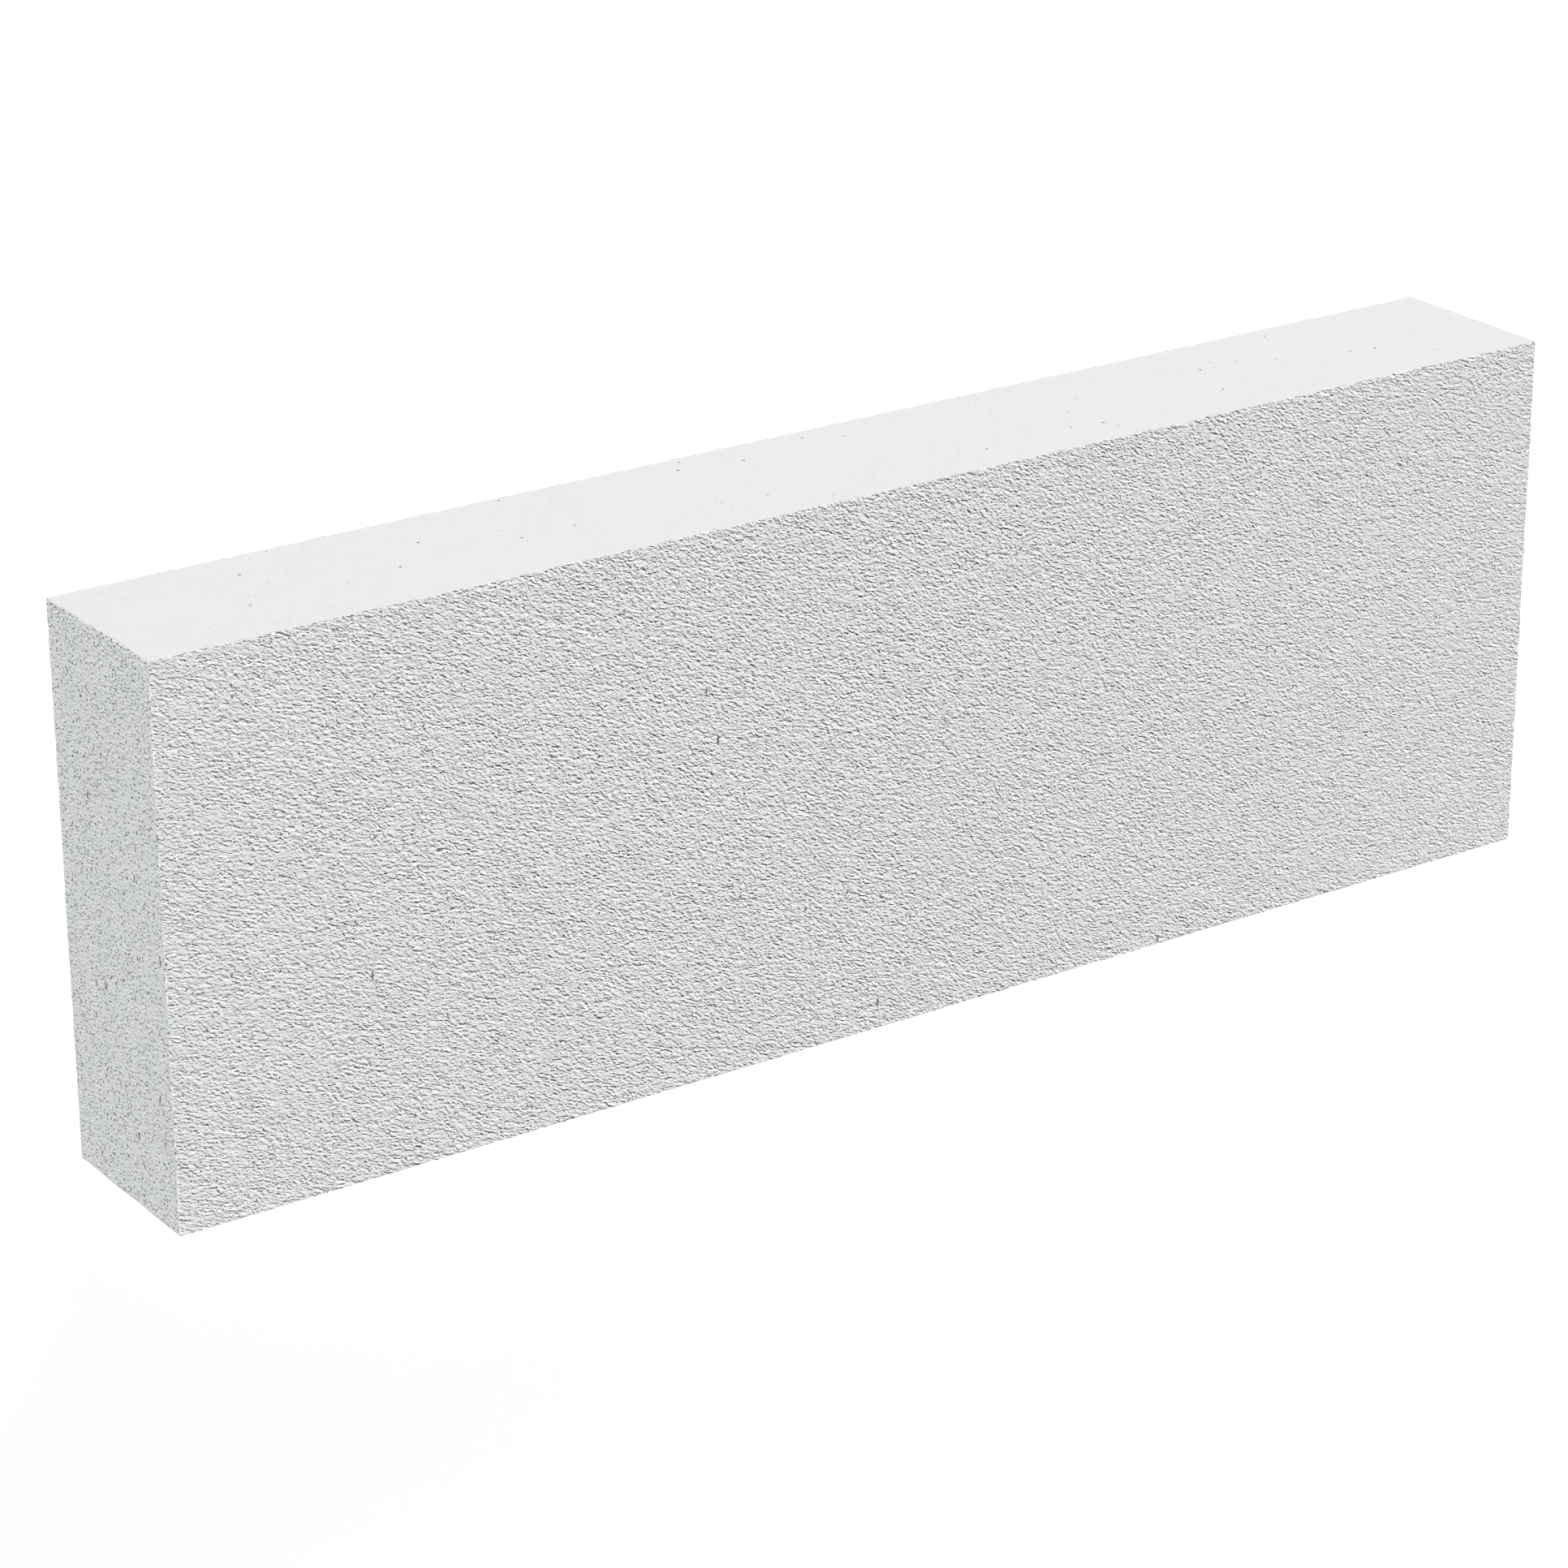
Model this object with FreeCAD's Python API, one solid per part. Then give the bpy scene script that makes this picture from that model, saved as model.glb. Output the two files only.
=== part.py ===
import FreeCAD, Part
import os

# One solid wall block of autoclaved aerated concrete, for thin-joint partition walls.
# It stands on its long narrow bed face, as it is laid in a wall.
# +X runs along the length, +Y through the thickness, from the front face to the back face,
# and +Z is up. The origin is the centre of the bottom bed face. Sizes are in millimetres.

# Work size of the block, arris to arris
block_length = 620.0
block_height = 215.0
block_thickness = 75.0

# The cutting wires leave the arrises almost sharp, and handling rounds them off a little
arris_radius = 1.2


def sawn_billet():
    """The plain billet between its six cut faces, centred over the origin."""
    corner = FreeCAD.Vector(-block_length / 2, -block_thickness / 2, 0)
    return Part.makeBox(block_length, block_thickness, block_height, corner)


def aerated_concrete_block():
    """The billet with all twelve arrises rounded off, as one solid with no hollow in it."""
    billet = sawn_billet()
    return billet.makeFillet(arris_radius, billet.Edges)


def save_node(name, shape):
    """Writes one node, after a look at what was made."""
    if not shape.isValid() or len(shape.Solids) != 1:
        raise ValueError(name + " is not one valid solid")
    shape.exportStep("parts/" + name + ".step")
    extents = [shape.BoundBox.XLength, shape.BoundBox.YLength, shape.BoundBox.ZLength]
    print(name, "measures", [round(extent, 3) for extent in extents], "mm")


os.makedirs("parts", exist_ok=True)
save_node("aerated_concrete_block", aerated_concrete_block())
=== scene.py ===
import math

import bmesh
import bpy
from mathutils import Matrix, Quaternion, Vector


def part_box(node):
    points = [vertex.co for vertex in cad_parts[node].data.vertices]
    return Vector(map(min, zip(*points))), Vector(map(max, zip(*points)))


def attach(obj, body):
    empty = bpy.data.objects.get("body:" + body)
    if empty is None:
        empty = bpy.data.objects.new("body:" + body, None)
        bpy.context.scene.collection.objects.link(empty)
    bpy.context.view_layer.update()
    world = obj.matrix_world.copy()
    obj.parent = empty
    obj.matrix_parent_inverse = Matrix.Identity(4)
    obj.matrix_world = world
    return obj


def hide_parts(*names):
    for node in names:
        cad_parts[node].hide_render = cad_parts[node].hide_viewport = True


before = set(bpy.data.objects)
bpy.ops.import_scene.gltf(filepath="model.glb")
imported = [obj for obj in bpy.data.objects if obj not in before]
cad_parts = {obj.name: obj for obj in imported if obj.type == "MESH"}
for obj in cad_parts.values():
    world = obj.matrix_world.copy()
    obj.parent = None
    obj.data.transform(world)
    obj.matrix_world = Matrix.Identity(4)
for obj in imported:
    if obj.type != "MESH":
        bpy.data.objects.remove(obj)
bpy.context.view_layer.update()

blockNode = "aerated_concrete_block"
low, high = (Vector(corner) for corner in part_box(blockNode))
size = high - low
mm = 0.001
print("frame loaded, block", [round(side / mm, 1) for side in size], "mm")


# helpers for node trees: a socket is linked, a plain value is typed in

def join(tree, value, socket):
    if isinstance(value, bpy.types.NodeSocket):
        tree.links.new(value, socket)
    elif value is not None:
        socket.default_value = value


def addNode(tree, kind, inputs=None, **settings):
    node = tree.nodes.new(kind)
    for name, value in settings.items():
        setattr(node, name, value)
    for key, value in (inputs or {}).items():
        join(tree, value, node.inputs[key])
    return node


def maths(tree, operation, *values):
    node = addNode(tree, "ShaderNodeMath", operation=operation)
    for value, socket in zip(values, node.inputs):
        join(tree, value, socket)
    return node.outputs[0]


def plus(tree, first, *others):
    for other in others:
        first = maths(tree, "ADD", first, other)
    return first


def times(tree, first, *others):
    for other in others:
        first = maths(tree, "MULTIPLY", first, other)
    return first


def minus(tree, first, second):
    return maths(tree, "SUBTRACT", first, second)


def over(tree, first, second):
    return maths(tree, "DIVIDE", first, second)


def isMore(tree, first, second):
    return maths(tree, "GREATER_THAN", first, second)


def scaled(tree, vector, factors):
    node = addNode(tree, "ShaderNodeVectorMath", operation="MULTIPLY")
    join(tree, vector, node.inputs[0])
    join(tree, factors, node.inputs[1])
    return node.outputs["Vector"]


def moved(tree, vector, offset):
    node = addNode(tree, "ShaderNodeVectorMath", operation="ADD")
    join(tree, vector, node.inputs[0])
    join(tree, offset, node.inputs[1])
    return node.outputs["Vector"]


def combine(tree, x=0.0, y=0.0, z=0.0):
    return addNode(tree, "ShaderNodeCombineXYZ", {"X": x, "Y": y, "Z": z}).outputs[0]


def separate(tree, vector):
    return addNode(tree, "ShaderNodeSeparateXYZ", {"Vector": vector}).outputs


def ramp(tree, value, start, end, bottom=0.0, top=1.0):
    node = addNode(tree, "ShaderNodeMapRange", {"Value": value}, interpolation_type="SMOOTHSTEP")
    for key, given in (("From Min", start), ("From Max", end), ("To Min", bottom), ("To Max", top)):
        join(tree, given, node.inputs[key])
    return node.outputs[0]


def graded(tree, value, start, end):
    limits = {"Value": value, "From Min": start, "From Max": end}
    return addNode(tree, "ShaderNodeMapRange", limits).outputs[0]


def noise(tree, vector, wave, detail=1.0, rough=0.5, wriggle=0.0):
    # wave is the size of the noise's lumps; about 0 on average, seldom past 0.3 either way
    node = addNode(tree, "ShaderNodeTexNoise", {"Vector": vector, "Scale": 1.0 / wave, "Detail": detail,
                                                "Roughness": rough, "Distortion": wriggle})
    return minus(tree, node.outputs["Fac"], 0.5)


def mixed(tree, amount, first, second, blend="MIX"):
    node = addNode(tree, "ShaderNodeMix", data_type="RGBA", blend_type=blend)
    join(tree, amount, node.inputs["Factor"])
    for value, socket in ((first, node.inputs[6]), (second, node.inputs[7])):
        join(tree, (*value, 1) if isinstance(value, tuple) else value, socket)
    return node.outputs[2]


dry = {
    "roughness": 0.95,
    "shine": 0.2,
}


def newFinish(name):
    finish = bpy.data.materials.new(name)
    finish.use_nodes = True
    tree = finish.node_tree
    shader = tree.nodes["Principled BSDF"]
    shader.inputs["Roughness"].default_value = dry["roughness"]
    shader.inputs["Specular IOR Level"].default_value = dry["shine"]
    place = addNode(tree, "ShaderNodeTexCoord").outputs["Object"]
    return finish, tree, shader, place


def coat(tree, shader, colour, height, distance):
    bump = addNode(tree, "ShaderNodeBump", {"Height": height, "Distance": distance, "Strength": 1.0})
    join(tree, colour, shader.inputs["Base Color"])
    join(tree, bump.outputs[0], shader.inputs["Normal"])


clouds = {
    "green": (0.90, 0.97, 0.95),
    "greenWave": 14 * mm,
    "greenFrom": (-0.12, 0.16),
    "cream": (1.0, 0.98, 0.93),
    "creamWave": 22 * mm,
    "creamFrom": (-0.1, 0.2),
}


def mottled(tree, place, colour, amount):
    # faint grey-green and cream clouds in the dried slurry
    green = ramp(tree, noise(tree, place, clouds["greenWave"], 2.0), *clouds["greenFrom"])
    elsewhere = moved(tree, place, (0.3, 0.1, 0.2))
    cream = ramp(tree, noise(tree, elsewhere, clouds["creamWave"], 1.0), *clouds["creamFrom"])
    colour = mixed(tree, times(tree, green, amount), colour, clouds["green"], "MULTIPLY")
    return mixed(tree, times(tree, cream, amount), colour, clouds["cream"], "MULTIPLY")


def lifted(tree, place, wave, step, wriggle):
    # how much higher a rough surface stands just above the place than just below it
    above, below = (noise(tree, moved(tree, place, (0.0, 0.0, rise)), wave, 1.0, 0.5, wriggle)
                    for rise in (0.5 * step, -0.5 * step))
    return minus(tree, above, below)


def poreDots(tree, place, apart, radius, edge):
    # round dots of all sizes up to the radius; radius and edge are shares of apart
    cell = addNode(tree, "ShaderNodeTexVoronoi", {"Vector": place, "Scale": 1.0 / apart})
    chance = separate(tree, cell.outputs["Color"])[0]
    inside = minus(tree, times(tree, chance, radius), cell.outputs["Distance"])
    return ramp(tree, inside, -edge, edge)


ledges = {
    "pitch": 1.55 * mm,             # from one ledge to the next
    "run": 4.9 * mm,                # between the points along a ledge
    "depth": 0.34 * mm,
    "slope": math.radians(26),      # the ledges run down to the right
    "bend": math.radians(5),        # and run that much flatter at the two ends
    "steepShare": 0.3,              # of the pitch, the short underside of a ledge
    "slabReach": 0.8,               # of length and height together, enough to cover the block when turned
    "seedStep": 0.37,               # how far the patterns move on for each seed
    "jitter": 0.35,                 # of the run, how unevenly the points are spaced along a ledge
    "unevenDepth": 0.2,             # of the depth, how much it changes from point to point
    "crestWear": 0.15,              # of the depth, how much the crests are worn down
    "fadeWave": 3.0 * mm,           # where ledges come and go
    "fadeFrom": (-0.14, 0.08),
    "wander": 0.55 * mm,
    "swingWave": 22 * mm,           # the slow wander of a ledge
    "swing": 9.0,
    "waverWave": 3.8 * mm,          # and the quick one
    "waver": 3.0,
    "tearWave": 0.83 * mm,          # the fine torn dashes on the ledges
    "tearLength": 1.9,              # how much longer they are along a ledge than across it
    "tearThrough": 0.3,             # how little they change through the thickness
    "tearStep": 0.30 * mm,
    "tearByDepth": 0.3,             # the part of their strength that follows the depth of the ledge
    "tearAnyway": 0.78,             # and the part that is always there
    "endFade": 0.2,                 # how much weaker the dashes are at the two ends
    "wriggle": 0.5,
    # painted light and shade of the dashes: painted shadow in the grooves, painted highlight on the lips
    "shadeFrom": (0.036, 0.147),
    "lightFrom": (0.01, 0.105),
    "plateau": 0.715,
    "lipHighlight": 0.98,
    "grooveShadow": 0.03,
    "tint": (1.0, 1.0, 0.997),
    "clouds": 0.2,
    "pinholesApart": 1.9 * mm,
    "pinholeRadius": 0.17,          # of the distance apart, as for all dots
    "pinholeEdge": 0.035,
    "grainWave": 0.6 * mm,
    "grain": 0.9,
    "grainHeight": 0.8,
    "bumpDepth": 0.16 * mm,
}


def bent(tree, along):
    # how far a ledge has risen off its straight line
    return times(tree, along, along, along, math.tan(ledges["bend"]) / (3 * (size.x / 2) ** 2))


def wireCutFinish():
    # the torn dashes that the cutting wire leaves on the ledges of the wide faces, with painted shadow
    # under each ledge and a painted highlight on its lip
    finish, tree, shader, place = newFinish("wireCutFace")
    share = addNode(tree, "ShaderNodeAttribute", attribute_name="ledgeDepth").outputs["Fac"]
    turn = (0, -ledges["slope"], 0)
    turned = addNode(tree, "ShaderNodeMapping", {"Vector": place, "Rotation": turn}).outputs[0]
    along = separate(tree, place)[0]
    straight = moved(tree, turned, combine(tree, z=times(tree, bent(tree, along), -1.0)))
    flat = scaled(tree, straight, (1.0 / ledges["tearLength"], ledges["tearThrough"], 1.0))
    torn = lifted(tree, flat, ledges["tearWave"], ledges["tearStep"], ledges["wriggle"])
    ends = times(tree, along, along, -ledges["endFade"] / (size.x / 2) ** 2)
    weight = plus(tree, times(tree, share, ledges["tearByDepth"]), ends, ledges["tearAnyway"])
    grain = noise(tree, place, ledges["grainWave"], 2.0, 0.6)
    # painted highlight where the surface stands higher above than below, plus random grain
    bright = times(tree, graded(tree, torn, *ledges["lightFrom"]), weight)
    bright = plus(tree, bright, times(tree, grain, ledges["grain"]))
    plateau, lipHighlight, grooveShadow = ((ledges[name],) * 3 for name in ("plateau", "lipHighlight", "grooveShadow"))
    colour = mixed(tree, bright, plateau, lipHighlight)
    pinhole = poreDots(tree, place, ledges["pinholesApart"], ledges["pinholeRadius"], ledges["pinholeEdge"])
    # painted shadow where the surface stands lower above than below, and painted shade in the pinholes
    dark = times(tree, graded(tree, times(tree, torn, -1.0), *ledges["shadeFrom"]), weight)
    dark = maths(tree, "MAXIMUM", dark, pinhole)
    colour = mixed(tree, dark, colour, grooveShadow)
    colour = mixed(tree, 1.0, colour, mottled(tree, place, ledges["tint"], ledges["clouds"]), "MULTIPLY")
    height = plus(tree, times(tree, dark, -1.0), times(tree, grain, ledges["grainHeight"]))
    coat(tree, shader, colour, height, ledges["bumpDepth"])
    return finish


heads = {
    "colour": (0.746, 0.755, 0.769),
    "clouds": 0.3,
    "pitShade": (0.08, 0.083, 0.085),
    "across": 0.6,                  # the smaller, the more the dots are drawn out through the thickness
    "poresApart": 1.3 * mm,
    "poreRadius": 0.37,
    "poreEdge": 0.07,
    "smallApart": 0.6,              # of the large dots' distance apart
    "smallRadius": 0.42,
    "smallEdge": 0.16,
    "small": 0.3,                   # how dark the small dots are beside the large ones
    "fleckWave": 1.0 * mm,
    "fleckStep": 0.4 * mm,
    "fleckWriggle": 0.3,
    "reliefShade": 0.22,                  # how much lighter or darker the painted light and shade of the fine relief make it
    "bumpDepth": 0.2 * mm,
}


def headFinish():
    # the sawn heads: an even field of fine open pores, each pore painted dark for the shade inside it
    finish, tree, shader, whole = newFinish("porousHead")
    place = scaled(tree, whole, (1.0, heads["across"], 1.0))
    relief = lifted(tree, place, heads["fleckWave"], heads["fleckStep"], heads["fleckWriggle"])
    large = poreDots(tree, place, heads["poresApart"], heads["poreRadius"], heads["poreEdge"])
    elsewhere = moved(tree, place, (0.7, 0.2, 0.4))
    smallApart = heads["smallApart"] * heads["poresApart"]
    small = poreDots(tree, elsewhere, smallApart, heads["smallRadius"], heads["smallEdge"])
    pits = maths(tree, "MAXIMUM", large, times(tree, small, heads["small"]))
    # painted light and shade: the fine relief is lighter or darker by how it slopes from below to above
    reliefLightAndShade = ramp(tree, relief, -0.2, 0.2, 1.0 - heads["reliefShade"], 1.0 + heads["reliefShade"])
    colour = mixed(tree, 1.0, mottled(tree, whole, heads["colour"], heads["clouds"]), reliefLightAndShade, "MULTIPLY")
    # painted shade inside the pores
    colour = mixed(tree, pits, colour, heads["pitShade"])
    height = plus(tree, times(tree, pits, -1.0), relief)
    coat(tree, shader, colour, height, heads["bumpDepth"])
    return finish


beds = {
    "colour": (0.735, 0.735, 0.737),
    "clouds": 0.12,
    "pinShade": (0.42, 0.43, 0.43),
    "pinPatches": 40 * mm,          # pinholes keep to patches of this size
    "pinsFrom": (-0.12, 0.1),
    "pinsApart": 2.0 * mm,
    "pinRadius": 0.17,
    "pinEdge": 0.05,
    "pinHeight": -2.0,
    "grainWave": 0.6 * mm,
    "grainHeight": 0.6,
    "bumpDepth": 0.05 * mm,
}


def bedFinish():
    # the beds, planed almost smooth, with a rare pinhole painted darker for the shade inside it
    finish, tree, shader, place = newFinish("smoothBed")
    gate = ramp(tree, noise(tree, place, beds["pinPatches"], 1.0), *beds["pinsFrom"])
    pin = times(tree, poreDots(tree, place, beds["pinsApart"], beds["pinRadius"], beds["pinEdge"]), gate)
    # painted shade in the pinholes
    colour = mixed(tree, pin, mottled(tree, place, beds["colour"], beds["clouds"]), beds["pinShade"])
    grain = times(tree, noise(tree, place, beds["grainWave"], 2.0), beds["grainHeight"])
    height = plus(tree, grain, times(tree, pin, beds["pinHeight"]))
    coat(tree, shader, colour, height, beds["bumpDepth"])
    return finish


pores = {
    "poreShadeDark": (0.10, 0.105, 0.105),
    "poreShadeLight": (0.24, 0.245, 0.245),
    "grainWave": 0.4 * mm,
    "bumpDepth": 0.1 * mm,
}


def poreFinish():
    # painted shade: the inside of an open pore is coloured dark for the shade it holds
    finish, tree, shader, place = newFinish("openPore")
    grain = noise(tree, place, pores["grainWave"], 2.0, 0.6)
    # painted shade, varied at random between two levels
    colour = mixed(tree, ramp(tree, grain, -0.2, 0.2), pores["poreShadeDark"], pores["poreShadeLight"])
    coat(tree, shader, colour, grain, pores["bumpDepth"])
    return finish


block = {
    "billetGrid": 4.0 * mm,         # between the points on heads and beds
    "across": 10,                   # spaces between points through the thickness
    "arris": 0.55 * mm,
    "crumble": 1.5,                 # how unevenly the arris is knocked off
    "lumpGain": 3.0,                # brings the lumps of the noise from about 0.3 to about 1
    "usualChip": 0.25,              # of the arris, what is knocked off on average
    "leastChip": 0.12,              # and at the very least
    "chipWave": 5 * mm,
    "chipJitter": 0.12,
    "hair": 0.05 * mm,              # the billet stands proud of the wire cuts by this
    "faceSlack": 0.1 * mm,          # a point this near to a face is on it
    "poreSize": 0.5 * mm,
    "poreGrowth": 0.4,              # of the size, how much it varies either way
    "longFrom": 0.84,               # pores that draw more than this from -1 to 1 are long
    "longer": 2.2,
    "poreTilt": 0.3,
    "poresApart": 3.2 * mm,
    "headPores": 0.02,              # open pores for each square millimetre
    "widePores": 0.0009,
    "bedPores": 0.0008,
    "seed": 11,
}


def newTree(name, sizes):
    tree = bpy.data.node_groups.new(name, "GeometryNodeTree")
    for label, kind in sizes:
        tree.interface.new_socket(label, in_out="INPUT", socket_type=kind)
    tree.interface.new_socket("Mesh", in_out="OUTPUT", socket_type="NodeSocketGeometry")
    given = tree.nodes.new("NodeGroupInput").outputs
    made = tree.nodes.new("NodeGroupOutput").inputs
    return tree, given, made


def keep(tree, shape, name, value, domain="POINT", here=None):
    node = addNode(tree, "GeometryNodeStoreNamedAttribute",
                   {"Geometry": shape, "Name": name, "Selection": here}, data_type="FLOAT", domain=domain)
    join(tree, value, node.inputs["Value"])
    return node.outputs[0]


surfaces = {"bed": 0.0, "head": 1.0, "wide": 2.0, "pore": 3.0}


def keepSurface(tree, shape, name, here=None):
    return keep(tree, shape, "surface", surfaces[name], "FACE", here)


def uneven(tree, given, shift=0):
    seed = plus(tree, given["Seed"], shift)
    spread = {"Min": (-1, -1, -1), "Max": (1, 1, 1), "Seed": seed}
    return addNode(tree, "FunctionNodeRandomValue", spread, data_type="FLOAT_VECTOR").outputs["Value"]


def rippledSlab(tree, given):
    # everything between the two wire cuts, larger than the block all round
    pitch, run, depth = given["Ledge Pitch"], given["Ledge Run"], given["Ledge Depth"]
    reach = times(tree, plus(tree, given["Length"], given["Height"]), ledges["slabReach"])
    columns = maths(tree, "ROUND", over(tree, reach, run))
    rows = maths(tree, "ROUND", over(tree, reach, pitch))
    slabSize = combine(tree, times(tree, columns, run), given["Thickness"], times(tree, rows, pitch))
    slab = addNode(tree, "GeometryNodeMeshCube", {
        "Size": slabSize, "Vertices X": plus(tree, columns, 1.0), "Vertices Y": 2,
        "Vertices Z": plus(tree, times(tree, rows, 2.0), 1.0)}).outputs["Mesh"]

    place = addNode(tree, "GeometryNodeInputPosition").outputs[0]
    along, through, across = separate(tree, place)
    halfRow = maths(tree, "ROUND", over(tree, across, times(tree, pitch, 0.5)))
    crest = maths(tree, "ROUND", times(tree, maths(tree, "FRACT", times(tree, halfRow, 0.5)), 2.0))
    valley = minus(tree, 1.0, crest)
    seedShift = times(tree, given["Seed"], ledges["seedStep"])
    sampled = moved(tree, place, combine(tree, seedShift, seedShift, 0.0))
    stretched = scaled(tree, sampled, (0.45, 1.0, 1.0))
    swing = times(tree, noise(tree, stretched, ledges["swingWave"]), ledges["swing"])
    elsewhere = moved(tree, stretched, (5.0, 0.0, 0.0))
    waver = times(tree, noise(tree, elsewhere, ledges["waverWave"]), ledges["waver"])
    patches = noise(tree, scaled(tree, sampled, (0.5, 1.0, 1.0)), ledges["fadeWave"], 0.0)
    fade = ramp(tree, patches, *ledges["fadeFrom"])
    jitterX, jitterY, jitterZ = separate(tree, uneven(tree, given))

    lean = times(tree, crest, pitch, minus(tree, given["Steep Share"], 0.5))
    bow = bent(tree, along)
    wander = times(tree, given["Ledge Wander"], plus(tree, swing, waver))
    moveAcross = plus(tree, lean, bow, wander)
    moveAlong = times(tree, jitterX, run, ledges["jitter"])
    depthHere = plus(tree, times(tree, jitterZ, ledges["unevenDepth"]), 1.0 - ledges["unevenDepth"])
    sunk = times(tree, valley, depth, fade, depthHere)
    worn = times(tree, crest, depth, ledges["crestWear"], plus(tree, jitterY, 1.0))
    inward = times(tree, maths(tree, "SIGN", through), plus(tree, sunk, worn), -1.0)
    slab = keep(tree, slab, "ledgeDepth", fade, "CORNER")
    slab = addNode(tree, "GeometryNodeSetPosition", {
        "Geometry": slab, "Offset": combine(tree, moveAlong, inward, moveAcross)}).outputs[0]
    slab = addNode(tree, "GeometryNodeTransform", {
        "Geometry": slab, "Translation": combine(tree, 0.0, 0.0, times(tree, given["Height"], 0.5)),
        "Rotation": combine(tree, 0.0, given["Ledge Slope"], 0.0)}).outputs[0]
    return keepSurface(tree, slab, "wide")


def onFace(tree, place, half, slack):
    return isMore(tree, maths(tree, "ABSOLUTE", place), minus(tree, half, slack))


def roughBillet(tree, given):
    # the sawn billet with its arrises knocked off; it has a wide face only inside the arrises
    sides = [given[name] for name in ("Length", "Thickness", "Height")]
    sides[1] = plus(tree, sides[1], 2 * block["hair"])
    counts = [maths(tree, "ROUND", over(tree, sides[0], block["billetGrid"])), float(block["across"]),
              maths(tree, "ROUND", over(tree, sides[2], block["billetGrid"]))]
    gaps = [over(tree, side, count) for side, count in zip(sides, counts)]
    halves = [times(tree, side, 0.5) for side in sides]
    billet = addNode(tree, "GeometryNodeMeshCube", {
        "Size": combine(tree, *sides), "Vertices X": plus(tree, counts[0], 1.0),
        "Vertices Y": block["across"] + 1, "Vertices Z": plus(tree, counts[2], 1.0)}).outputs["Mesh"]
    place = addNode(tree, "GeometryNodeInputPosition").outputs[0]
    parts = separate(tree, place)
    headFace = onFace(tree, parts[0], halves[0], block["faceSlack"])
    wide = onFace(tree, parts[1], halves[1], block["faceSlack"])
    for name, here in (("bed", None), ("head", headFace), ("wide", wide)):
        billet = keepSurface(tree, billet, name, here)
    billet = keep(tree, billet, "ledgeDepth", 0.5, "CORNER")

    # the outermost points of a face, and those together with the next ones in
    edges, nexts = ([onFace(tree, part, half, times(tree, gap, share))
                     for part, half, gap in zip(parts, halves, gaps)] for share in (0.5, 1.5))
    onArris = isMore(tree, plus(tree, *edges), 1.5)
    lumps = noise(tree, place, block["chipWave"], 2.0, 0.6)
    jitter = separate(tree, uneven(tree, given, 3))[0]
    worn = plus(tree, lumps, times(tree, jitter, block["chipJitter"]))
    worn = times(tree, worn, given["Crumble"], block["lumpGain"])
    pull = times(tree, given["Arris"], plus(tree, block["usualChip"], worn))
    pull = maths(tree, "MAXIMUM", pull, times(tree, given["Arris"], block["leastChip"]))
    shifts = []
    for part, edge, after, gap in zip(parts, edges, nexts, gaps):
        second = minus(tree, after, edge)
        loop = times(tree, second, minus(tree, gap, given["Arris"]))
        knocked = times(tree, edge, onArris, pull, -1.0)
        shifts.append(times(tree, maths(tree, "SIGN", part), plus(tree, loop, knocked)))
    billet = addNode(tree, "GeometryNodeSetPosition",
                     {"Geometry": billet, "Offset": combine(tree, *shifts)}).outputs[0]
    return addNode(tree, "GeometryNodeTransform", {
        "Geometry": billet, "Translation": combine(tree, 0.0, 0.0, halves[2])}).outputs[0]


def openPores(tree, given):
    sides = [given[name] for name in ("Length", "Thickness", "Height")]
    halves = [times(tree, side, 0.5) for side in sides]
    shell = addNode(tree, "GeometryNodeMeshCube", {"Size": combine(tree, *sides)}).outputs["Mesh"]
    parts = separate(tree, addNode(tree, "GeometryNodeInputPosition").outputs[0])
    headFace = onFace(tree, parts[0], halves[0], block["faceSlack"])
    wide = onFace(tree, parts[1], halves[1], block["faceSlack"])
    bed = onFace(tree, parts[2], halves[2], block["faceSlack"])
    spots = addNode(tree, "GeometryNodeJoinGeometry")
    for here, density in ((headFace, "Head Pores"), (wide, "Wide Pores"), (bed, "Bed Pores")):
        skin = addNode(tree, "GeometryNodeSeparateGeometry", {"Geometry": shell, "Selection": here},
                       domain="FACE")
        scatter = addNode(tree, "GeometryNodeDistributePointsOnFaces", {
            "Mesh": skin.outputs[0], "Distance Min": given["Pores Apart"],
            "Density Max": times(tree, given[density], 1 / mm ** 2), "Seed": given["Seed"]},
            distribute_method="POISSON")
        tree.links.new(scatter.outputs["Points"], spots.inputs[0])
    ball = addNode(tree, "GeometryNodeMeshIcoSphere", {"Radius": 1.0, "Subdivisions": 1}).outputs["Mesh"]
    chance = separate(tree, uneven(tree, given, 7))
    grown = times(tree, given["Pore Size"], plus(tree, 1.0, times(tree, chance[0], block["poreGrowth"])))
    long = plus(tree, 1.0, times(tree, isMore(tree, chance[1], block["longFrom"]), block["longer"]))
    tilt = scaled(tree, uneven(tree, given, 9), (block["poreTilt"],) * 3)
    dots = addNode(tree, "GeometryNodeInstanceOnPoints", {
        "Points": spots.outputs[0], "Instance": ball, "Rotation": tilt,
        "Scale": combine(tree, grown, grown, times(tree, grown, long))}).outputs[0]
    dots = addNode(tree, "GeometryNodeRealizeInstances", {"Geometry": dots}).outputs[0]
    dots = addNode(tree, "GeometryNodeTransform", {
        "Geometry": dots, "Translation": combine(tree, 0.0, 0.0, halves[2])}).outputs[0]
    return keepSurface(tree, dots, "pore")


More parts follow.
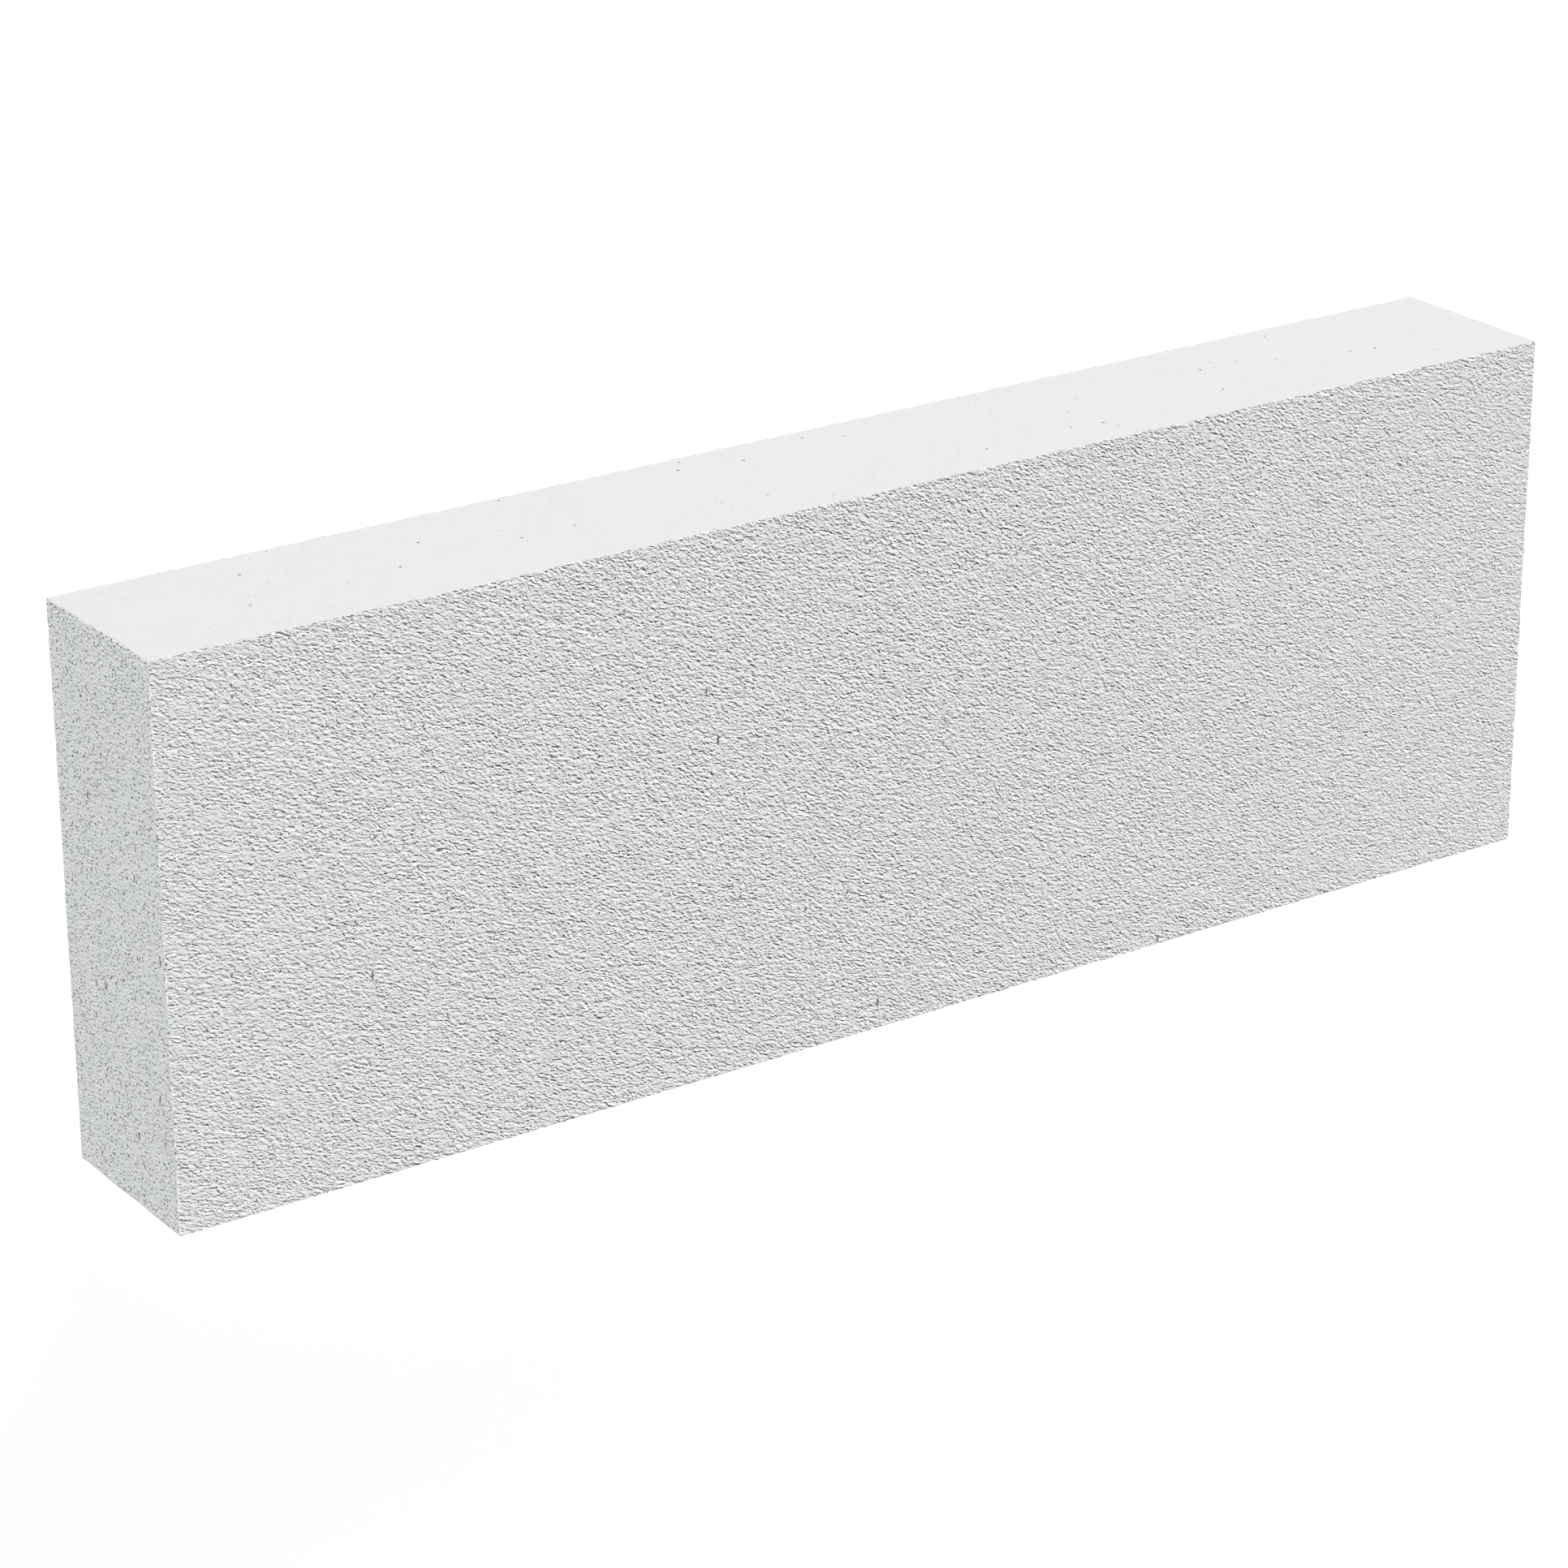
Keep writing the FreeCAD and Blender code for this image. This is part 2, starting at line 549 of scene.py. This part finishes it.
def blockTree(finishes):
    sizes = ["Length", "Thickness", "Height", "Ledge Pitch", "Ledge Run", "Ledge Depth", "Ledge Slope",
             "Steep Share", "Ledge Wander", "Arris", "Crumble", "Pore Size", "Pores Apart", "Head Pores",
             "Wide Pores", "Bed Pores"]
    sockets = [(name, "NodeSocketFloat") for name in sizes] + [("Seed", "NodeSocketInt")]
    tree, given, made = newTree("aeratedBlock", sockets)
    cut = addNode(tree, "GeometryNodeMeshBoolean", operation="INTERSECT", solver="MANIFOLD")
    tree.links.new(rippledSlab(tree, given), cut.inputs["Mesh 2"])
    tree.links.new(roughBillet(tree, given), cut.inputs["Mesh 2"])
    pierced = addNode(tree, "GeometryNodeMeshBoolean", {
        "Mesh 1": cut.outputs["Mesh"], "Mesh 2": openPores(tree, given)},
        operation="DIFFERENCE", solver="MANIFOLD")
    facets = addNode(tree, "GeometryNodeSetShadeSmooth",
                     {"Geometry": pierced.outputs["Mesh"], "Shade Smooth": False})
    whole = addNode(tree, "GeometryNodeRealizeInstances", {"Geometry": facets.outputs[0]}).outputs[0]
    surface = addNode(tree, "GeometryNodeInputNamedAttribute", {"Name": "surface"}, data_type="FLOAT")
    for name, finish in finishes.items():
        here = addNode(tree, "FunctionNodeCompare",
                       {"A": surface.outputs[0], "B": surfaces[name], "Epsilon": 0.4},
                       data_type="FLOAT", operation="EQUAL").outputs[0]
        whole = addNode(tree, "GeometryNodeSetMaterial",
                        {"Geometry": whole, "Selection": here, "Material": finish}).outputs[0]
    tree.links.new(whole, made[0])
    return tree


def meshFromTree(name, tree, values):
    holder = bpy.data.objects.new(name + "Maker", bpy.data.meshes.new(name + "Maker"))
    bpy.context.scene.collection.objects.link(holder)
    modifier = holder.modifiers.new("maker", "NODES")
    modifier.node_group = tree
    for item in tree.interface.items_tree:
        if item.in_out == "INPUT":
            modifier[item.identifier] = values[item.name]
    evaluated = holder.evaluated_get(bpy.context.evaluated_depsgraph_get())
    mesh = bpy.data.meshes.new_from_object(evaluated)
    bpy.data.objects.remove(holder)
    piece = bpy.data.objects.new(name, mesh)
    bpy.context.scene.collection.objects.link(piece)
    return piece


def dropChips(mesh):
    # a chip that the cuts leave loose is thrown away
    shape = bmesh.new()
    shape.from_mesh(mesh)
    left = set(shape.verts)
    bodies = []
    while left:
        body = [left.pop()]
        for point in body:                  # the list grows while it is walked
            near = {edge.other_vert(point) for edge in point.link_edges} & left
            body.extend(near)
            left -= near
        bodies.append(body)
    bodies.sort(key=len)
    chips = [point for body in bodies[:-1] for point in body]
    bmesh.ops.delete(shape, geom=chips, context="VERTS")
    shape.to_mesh(mesh)
    shape.free()
    print("loose chips dropped:", len(bodies) - 1)


finishes = {"wide": wireCutFinish(), "head": headFinish(), "bed": bedFinish(), "pore": poreFinish()}
piece = meshFromTree("aeratedConcreteBlock", blockTree(finishes), {
    "Length": size.x, "Thickness": size.y, "Height": size.z,
    "Ledge Pitch": ledges["pitch"], "Ledge Run": ledges["run"], "Ledge Depth": ledges["depth"],
    "Ledge Slope": ledges["slope"], "Steep Share": ledges["steepShare"], "Ledge Wander": ledges["wander"],
    "Arris": block["arris"], "Crumble": block["crumble"], "Pore Size": block["poreSize"],
    "Pores Apart": block["poresApart"], "Head Pores": block["headPores"], "Wide Pores": block["widePores"],
    "Bed Pores": block["bedPores"], "Seed": block["seed"]})
mesh = piece.data
if mesh.materials[0] is None:
    mesh.materials.pop(index=0)     # the empty slot of the first cube
dropChips(mesh)
mesh.calc_loop_triangles()
print("block made:", len(mesh.vertices), "points,", len(mesh.loop_triangles), "triangles,",
      [finish.name for finish in mesh.materials])
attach(piece, "root")
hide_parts(blockNode)


view = {
    "azimuth": math.radians(34.485),
    "elevation": math.radians(22.305),
    "roll": math.radians(-0.235),
    "distance": 1.8858,
    "aim": Vector((-0.0235, 0.0066, 0.0884)),
    "lens": 114.22,
    "sensor": 36,
}


def addCamera():
    camera = bpy.data.objects.new("camera", bpy.data.cameras.new("camera"))
    bpy.context.scene.collection.objects.link(camera)
    level = math.cos(view["elevation"])
    towards = Vector((math.sin(view["azimuth"]) * level, math.cos(view["azimuth"]) * level,
                      -math.sin(view["elevation"])))
    camera.location = view["aim"] - towards * view["distance"]
    upright = towards.to_track_quat("-Z", "Y")
    camera.rotation_euler = (upright @ Quaternion((0, 0, 1), view["roll"])).to_euler()
    camera.data.lens = view["lens"]
    camera.data.sensor_width = view["sensor"]
    bpy.context.scene.camera = camera


studio = {
    # round from the front towards the left head, and up
    "keyFrom": (math.radians(38), math.radians(42)),
    "keyStrength": 1.2,
    "keyAngle": math.radians(16),
    "backFrom": (math.radians(226), math.radians(21)),
    "backStrength": 0.59,
    "backAngle": math.radians(40),
    "skyAbove": 0.12,
    "skyBelow": 0.50,
    "floorHalf": 12.0,
    "floorGrey": (0.38, 0.38, 0.38, 1),
    "floorRoughness": 0.9,
    "floorGlow": 0.6,
}


def addSun(name, fromWhere, strength, angle):
    turn, rise = fromWhere
    light = bpy.data.objects.new(name, bpy.data.lights.new(name, "SUN"))
    light.data.energy = strength * math.pi
    light.data.angle = angle
    towards = Vector((math.sin(turn) * math.cos(rise), math.cos(turn) * math.cos(rise), -math.sin(rise)))
    light.rotation_euler = towards.to_track_quat("-Z", "Y").to_euler()
    bpy.context.scene.collection.objects.link(light)


def addStudio():
    scene = bpy.context.scene
    scene.view_settings.view_transform = "Standard"
    world = bpy.data.worlds.new("studio")
    scene.world = world
    world.use_nodes = True
    tree = world.node_tree
    up = separate(tree, addNode(tree, "ShaderNodeTexCoord").outputs["Generated"])[2]
    level = ramp(tree, up, -0.3, 0.3, studio["skyBelow"], studio["skyAbove"])
    seen = addNode(tree, "ShaderNodeLightPath").outputs["Is Camera Ray"]
    join(tree, maths(tree, "MAXIMUM", level, seen), tree.nodes["Background"].inputs["Strength"])
    tree.nodes["Background"].inputs["Color"].default_value = (1, 1, 1, 1)
    addSun("keyLight", studio["keyFrom"], studio["keyStrength"], studio["keyAngle"])
    addSun("backLight", studio["backFrom"], studio["backStrength"], studio["backAngle"])
    floorMesh = bpy.data.meshes.new("floor")
    half = studio["floorHalf"]
    corners = [(-half, -half, 0), (half, -half, 0), (half, half, 0), (-half, half, 0)]
    floorMesh.from_pydata(corners, [], [(0, 1, 2, 3)])
    floor = bpy.data.objects.new("floor", floorMesh)
    scene.collection.objects.link(floor)
    floor.visible_diffuse = False
    paint = bpy.data.materials.new("floorPaint")
    paint.use_nodes = True
    surface = paint.node_tree.nodes["Principled BSDF"].inputs
    surface["Base Color"].default_value = studio["floorGrey"]
    surface["Roughness"].default_value = studio["floorRoughness"]
    surface["Emission Color"].default_value = (1, 1, 1, 1)
    surface["Emission Strength"].default_value = studio["floorGlow"]
    floorMesh.materials.append(paint)


addCamera()
addStudio()
